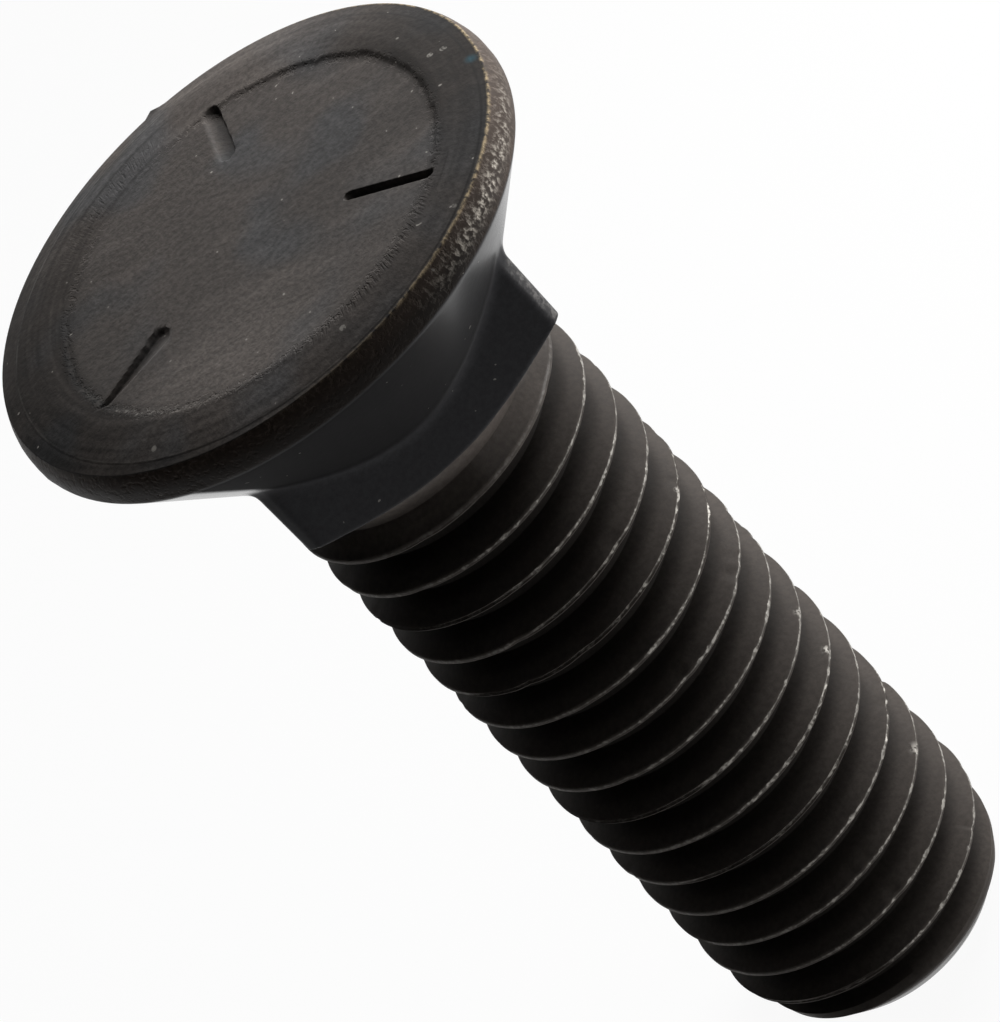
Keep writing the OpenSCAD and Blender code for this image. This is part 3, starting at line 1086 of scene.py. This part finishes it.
@dataclass(frozen=True)
class PlowBolt:
    """The bolt: head, neck and thread as one closed skin in one finish.

    Attributes:
        head: The head.
        neck: The neck.
        thread: The thread and the point.
        finish: The steel.
        columns: Columns round the axis.
        crowding: How much closer columns stand at a dash or corner than elsewhere.
        crowded: Half width of that in radians.
        sharp: Angle in degrees above which an edge stays sharp.
    """

    head: ForgedHead = ForgedHead()
    neck: SquareNeck = SquareNeck()
    thread: RolledThread = RolledThread()
    finish: BlackenedSteel = BlackenedSteel()
    columns: int = 296
    crowding: float = 4.0
    crowded: float = 0.075
    sharp: float = 38.0

    def angles(self) -> np.ndarray:
        """Column angles, crowded at the dashes and at the neck's corners.

        A density of 1 plus a bell at each of them is summed up round the turn, and the columns stand at equal
        shares of that sum.

        Returns:
            Angles in radians from 0 up to one turn.
        """
        fine = np.linspace(0.0, TURN, 7201)
        corners = [self.neck.turn + quarter for quarter in (45.0, 135.0, 225.0, 315.0)]
        middles = np.radians([mark.angle for mark in self.head.marks] + corners)
        away = turn_from(fine[:, None], middles)
        density = 1.0 + self.crowding * np.exp(-(away / self.crowded) ** 4).sum(-1)
        total = np.concatenate([[0.0], np.cumsum(0.5 * (density[1:] + density[:-1]))])
        return np.interp(np.linspace(0.0, total[-1], self.columns + 1)[:-1], total, fine)

    def mesh(self) -> bpy.types.Mesh:
        """Joins the rows of head, rim and neck, the thread's skin and the point into one closed mesh.

        Returns:
            The mesh, in metres.
        """
        angle = self.angles()
        ring = (self.thread.shank, self.thread.high)
        upper = [self.head.face_rows(angle), self.head.rim_rows(angle), self.neck.rows(angle, self.head, ring)]
        lower = self.thread.point_rows(angle)
        stack = np.concatenate([np.stack(np.broadcast_arrays(*rows), -1) for rows in upper])
        foot = np.stack(np.broadcast_arrays(*lower), -1)
        n = self.columns
        tip = np.array([[self.head.die_x, self.head.die_y, float(stack[0, :, 2].mean())]])
        high_ring = 1 + (len(stack) - 1) * n
        low_ring = 1 + len(stack) * n
        pole = low_ring + len(foot) * n
        skin, triangles = self.thread.skin(angle, pole + 1, low_ring, high_ring)
        points = np.concatenate([tip, stack.reshape(-1, 3), foot.reshape(-1, 3), [[0.0, 0.0, 0.0]], skin])
        column = np.arange(n)
        after = (column + 1) % n
        quads = np.concatenate([belts(1, len(stack), n), belts(low_ring, len(foot), n)])
        cap = np.stack([np.zeros_like(column), 1 + column, 1 + after], -1)
        last = low_ring + (len(foot) - 1) * n
        end = np.stack([np.full_like(column, pole), last + after, last + column], -1)
        triangles = np.concatenate([cap, triangles, end])
        used, inverse = np.unique(np.concatenate([quads.ravel(), triangles.ravel()]), return_inverse=True)
        quads, triangles = inverse[:quads.size].reshape(-1, 4), inverse[quads.size:].reshape(-1, 3)
        mesh = bpy.data.meshes.new("plow_bolt_skin")
        mesh.from_pydata((points[used] * MM).tolist(), [], quads.tolist() + triangles.tolist())
        mesh.shade_smooth()
        mesh.set_sharp_from_angle(angle=math.radians(self.sharp))
        return mesh

    def build(self) -> bpy.types.Object:
        """Makes the piece, dresses it and ties it to the frame.

        Returns:
            The piece.
        """
        piece = add_object("plow_bolt_body", self.mesh())
        piece.data.materials.append(self.finish.material(self.head, self.neck, self.thread))
        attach(piece, "root")
        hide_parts("plow_bolt")
        return piece


@dataclass(frozen=True)
class SoftBox:
    """One soft box of the studio.

    Attributes:
        name: Name of the lamp.
        place: Place in metres.
        aim: Point that it faces, in metres.
        size: Side or diameter in metres.
        watts: Power.
        shape: Outline.
    """

    name: str
    place: tuple[float, float, float]
    aim: tuple[float, float, float]
    size: float
    watts: float
    shape: LampShape = LampShape.SQUARE

    def build(self) -> bpy.types.Object:
        """Makes the lamp, which the camera itself doesn't see.

        Returns:
            The lamp.
        """
        data = bpy.data.lights.new(self.name, "AREA")
        data.shape = self.shape.value
        data.size = self.size
        data.energy = self.watts
        lamp = add_object(self.name, data)
        lamp.location = self.place
        lamp.rotation_mode = "QUATERNION"
        lamp.rotation_quaternion = (Vector(self.aim) - Vector(self.place)).to_track_quat("-Z", "Y")
        lamp.visible_camera = False
        return lamp


@dataclass(frozen=True)
class DarkCard:
    """Curved dark card that keeps white off one side of the bolt, out of the camera's sight.

    Attributes:
        radius: Distance from the bolt in metres.
        first: Azimuth from +X where it starts, in degrees.
        last: Azimuth where it ends.
        height: Elevation of its upper edge in degrees.
        color: Linear grey.
    """

    radius: float = 0.6
    first: float = 98.0
    last: float = 275.0
    height: float = 62.0
    color: float = 0.02

    def build(self) -> bpy.types.Object:
        """Makes the card as a patch of a sphere: azimuth along it, elevation up it.

        Returns:
            The card.
        """
        rows, columns = 16, 40
        turn = np.radians(np.linspace(self.first, self.last, columns))
        lift = np.radians(np.linspace(0.0, self.height, rows))[:, None]
        flat = np.cos(lift)
        parts = np.broadcast_arrays(flat * np.cos(turn), flat * np.sin(turn), np.sin(lift))
        points = self.radius * np.stack(parts, -1)
        quads = belts(0, rows, columns, closed=False)[:, ::-1]
        mesh = bpy.data.meshes.new("dark_card")
        mesh.from_pydata(points.reshape(-1, 3).tolist(), [], quads.tolist())
        material, g = Graph.of_material("dark_card")
        cloth = g.node("ShaderNodeBsdfDiffuse", {}, {"Color": (self.color, self.color, self.color, 1.0)})
        g.node("ShaderNodeOutputMaterial", {}, {"Surface": cloth.outputs[0]})
        mesh.materials.append(material)
        card = add_object("dark_card", mesh)
        card.visible_camera = False
        card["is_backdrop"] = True
        return card


@dataclass(frozen=True)
class Studio:
    """White studio: a pale floor that runs out into white, soft boxes, a dark card and a weak even light.

    Attributes:
        fill: Strength of the even light.
        floor_radius: Radius of the floor in metres.
        floor_gap: Gap between the floor and the bolt's end in metres.
        floor_grey: Linear grey of the floor.
        floor_white: Share of plain white that the camera sees in the floor.
        boxes: The soft boxes.
        card: The dark card.
    """

    fill: float = 0.04
    floor_radius: float = 0.9
    floor_gap: float = 2e-5
    floor_grey: float = 0.88
    floor_white: float = 0.94
    boxes: tuple[SoftBox, ...] = (
        SoftBox("key", (0.085, 0.05, 0.066), (0.0, 0.0, 0.018), 0.05, 0.1),
        SoftBox("top", (0.028, 0.036, 0.085), (0.0, 0.0, 0.038), 0.03, 0.028, LampShape.DISK),
        SoftBox("back", (-0.05, 0.2, 0.03), (0.0, 0.0, 0.02), 0.12, 0.06),
        SoftBox("low", (0.07, -0.012, 0.012), (0.0, 0.0, 0.034), 0.03, 0.02),
    )
    card: DarkCard = DarkCard()

    def seen(self, g: Graph) -> Num:
        """1 for rays from the camera, from gloss and through glass, which all see the white background.

        Args:
            g: Graph of the floor or of the world.

        Returns:
            The mask.
        """
        path = g.node("ShaderNodeLightPath", {}, {})
        rays = [Num(g, path.outputs[name]) for name in ("Is Camera Ray", "Is Glossy Ray", "Is Transmission Ray")]
        return rays[0].apply("MAXIMUM", rays[1]).apply("MAXIMUM", rays[2])

    def world(self) -> None:
        """White world for the camera and for gloss, and the even light for the rest."""
        world = bpy.data.worlds.new("studio")
        world.use_nodes = True
        g = Graph(world.node_tree)
        strength = self.seen(g) * (1.0 - self.fill) + self.fill
        sky = g.node("ShaderNodeBackground", {}, {"Color": WHITE, "Strength": strength})
        g.node("ShaderNodeOutputWorld", {}, {"Surface": sky.outputs[0]})
        bpy.context.scene.world = world

    def floor(self) -> bpy.types.Object:
        """Round pale floor, white to the camera, that keeps the shadow near the bolt.

        The disc is rings of growing radius: radius = floor radius times the square of the ring's share.

        Returns:
            The floor.
        """
        rows, columns = 14, 96
        turn = np.linspace(0.0, TURN, columns + 1)[:-1]
        ring = self.floor_radius * np.linspace(0.05, 1.0, rows)[:, None] ** 2
        level = np.full((rows, columns), -self.floor_gap)
        points = np.stack([ring * np.cos(turn), ring * np.sin(turn), level], -1).reshape(-1, 3)
        mesh = bpy.data.meshes.new("floor")
        mesh.from_pydata(points.tolist(), [], belts(0, rows, columns).tolist() + [list(range(columns))])
        material, g = Graph.of_material("floor_white")
        coord = g.node("ShaderNodeTexCoord", {}, {})
        far = g.node("ShaderNodeVectorMath", {"operation": "LENGTH"}, {0: coord.outputs["Object"]})
        away = Num(g, far.outputs["Value"]).ramp(0.06, 0.3)
        grey = self.floor_grey
        matt = g.node("ShaderNodeBsdfDiffuse", {}, {"Color": (grey, grey, grey, 1.0)})
        white = g.node("ShaderNodeEmission", {}, {"Color": WHITE, "Strength": 1.0})
        share = self.seen(g) * (self.floor_white + away * (1.0 - self.floor_white))
        both = g.node("ShaderNodeMixShader", {}, {0: share, 1: matt.outputs[0], 2: white.outputs[0]})
        g.node("ShaderNodeOutputMaterial", {}, {"Surface": both.outputs[0]})
        mesh.materials.append(material)
        piece = add_object("floor", mesh)
        piece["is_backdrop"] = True
        return piece

    def build(self) -> None:
        """Sets the view transform and makes world, floor, card and lamps."""
        bpy.context.scene.view_settings.view_transform = "Standard"
        self.world()
        self.floor()
        self.card.build()
        for box in self.boxes:
            box.build()


@dataclass(frozen=True)
class PhotoCamera:
    """Camera at the photograph's viewing angle.

    Attributes:
        place: Place in metres.
        right: Direction of the image's right side.
        up: Direction of the image's top.
        back: Direction from the scene to the camera.
        lens: Focal length for a sensor 36 mm wide.
    """

    place: tuple[float, float, float] = (0.0, -0.1776377, 0.1448104)
    right: tuple[float, float, float] = (0.723999, -0.388524, -0.569978)
    up: tuple[float, float, float] = (0.689801, 0.408315, 0.597874)
    back: tuple[float, float, float] = (0.000442, -0.826032, 0.563624)
    lens: float = 236.7365

    def build(self) -> bpy.types.Object:
        """Makes the camera and gives it to the scene.

        Returns:
            The camera.
        """
        data = bpy.data.cameras.new("photo")
        data.sensor_fit = "HORIZONTAL"
        data.sensor_width = 36.0
        data.lens = self.lens
        data.clip_start = 0.01
        data.clip_end = 10.0
        camera = add_object("photo", data)
        turn = Matrix((self.right, self.up, self.back)).transposed()
        camera.matrix_world = Matrix.Translation(self.place) @ turn.to_4x4()
        bpy.context.scene.camera = camera
        return camera


def corners(box: Sequence[Vector]) -> list[list[float]]:
    """Two corners as plain lists of numbers."""
    return [[float(v) for v in corner] for corner in box]


def main() -> None:
    """Builds camera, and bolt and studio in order."""
    logging.basicConfig(level=logging.INFO, format="%(name)s: %(message)s")
    cad = corners(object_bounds())
    PhotoCamera().build()
    piece = PlowBolt().build()
    LOG.info("%s: %d faces, %d vertices", piece.name, len(piece.data.polygons), len(piece.data.vertices))
    Studio().build()
    bpy.context.view_layer.update()
    visual = corners(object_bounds())
    LOG.info("CAD box %s, visual box %s", cad, visual)


if __name__ == "__main__":
    main()
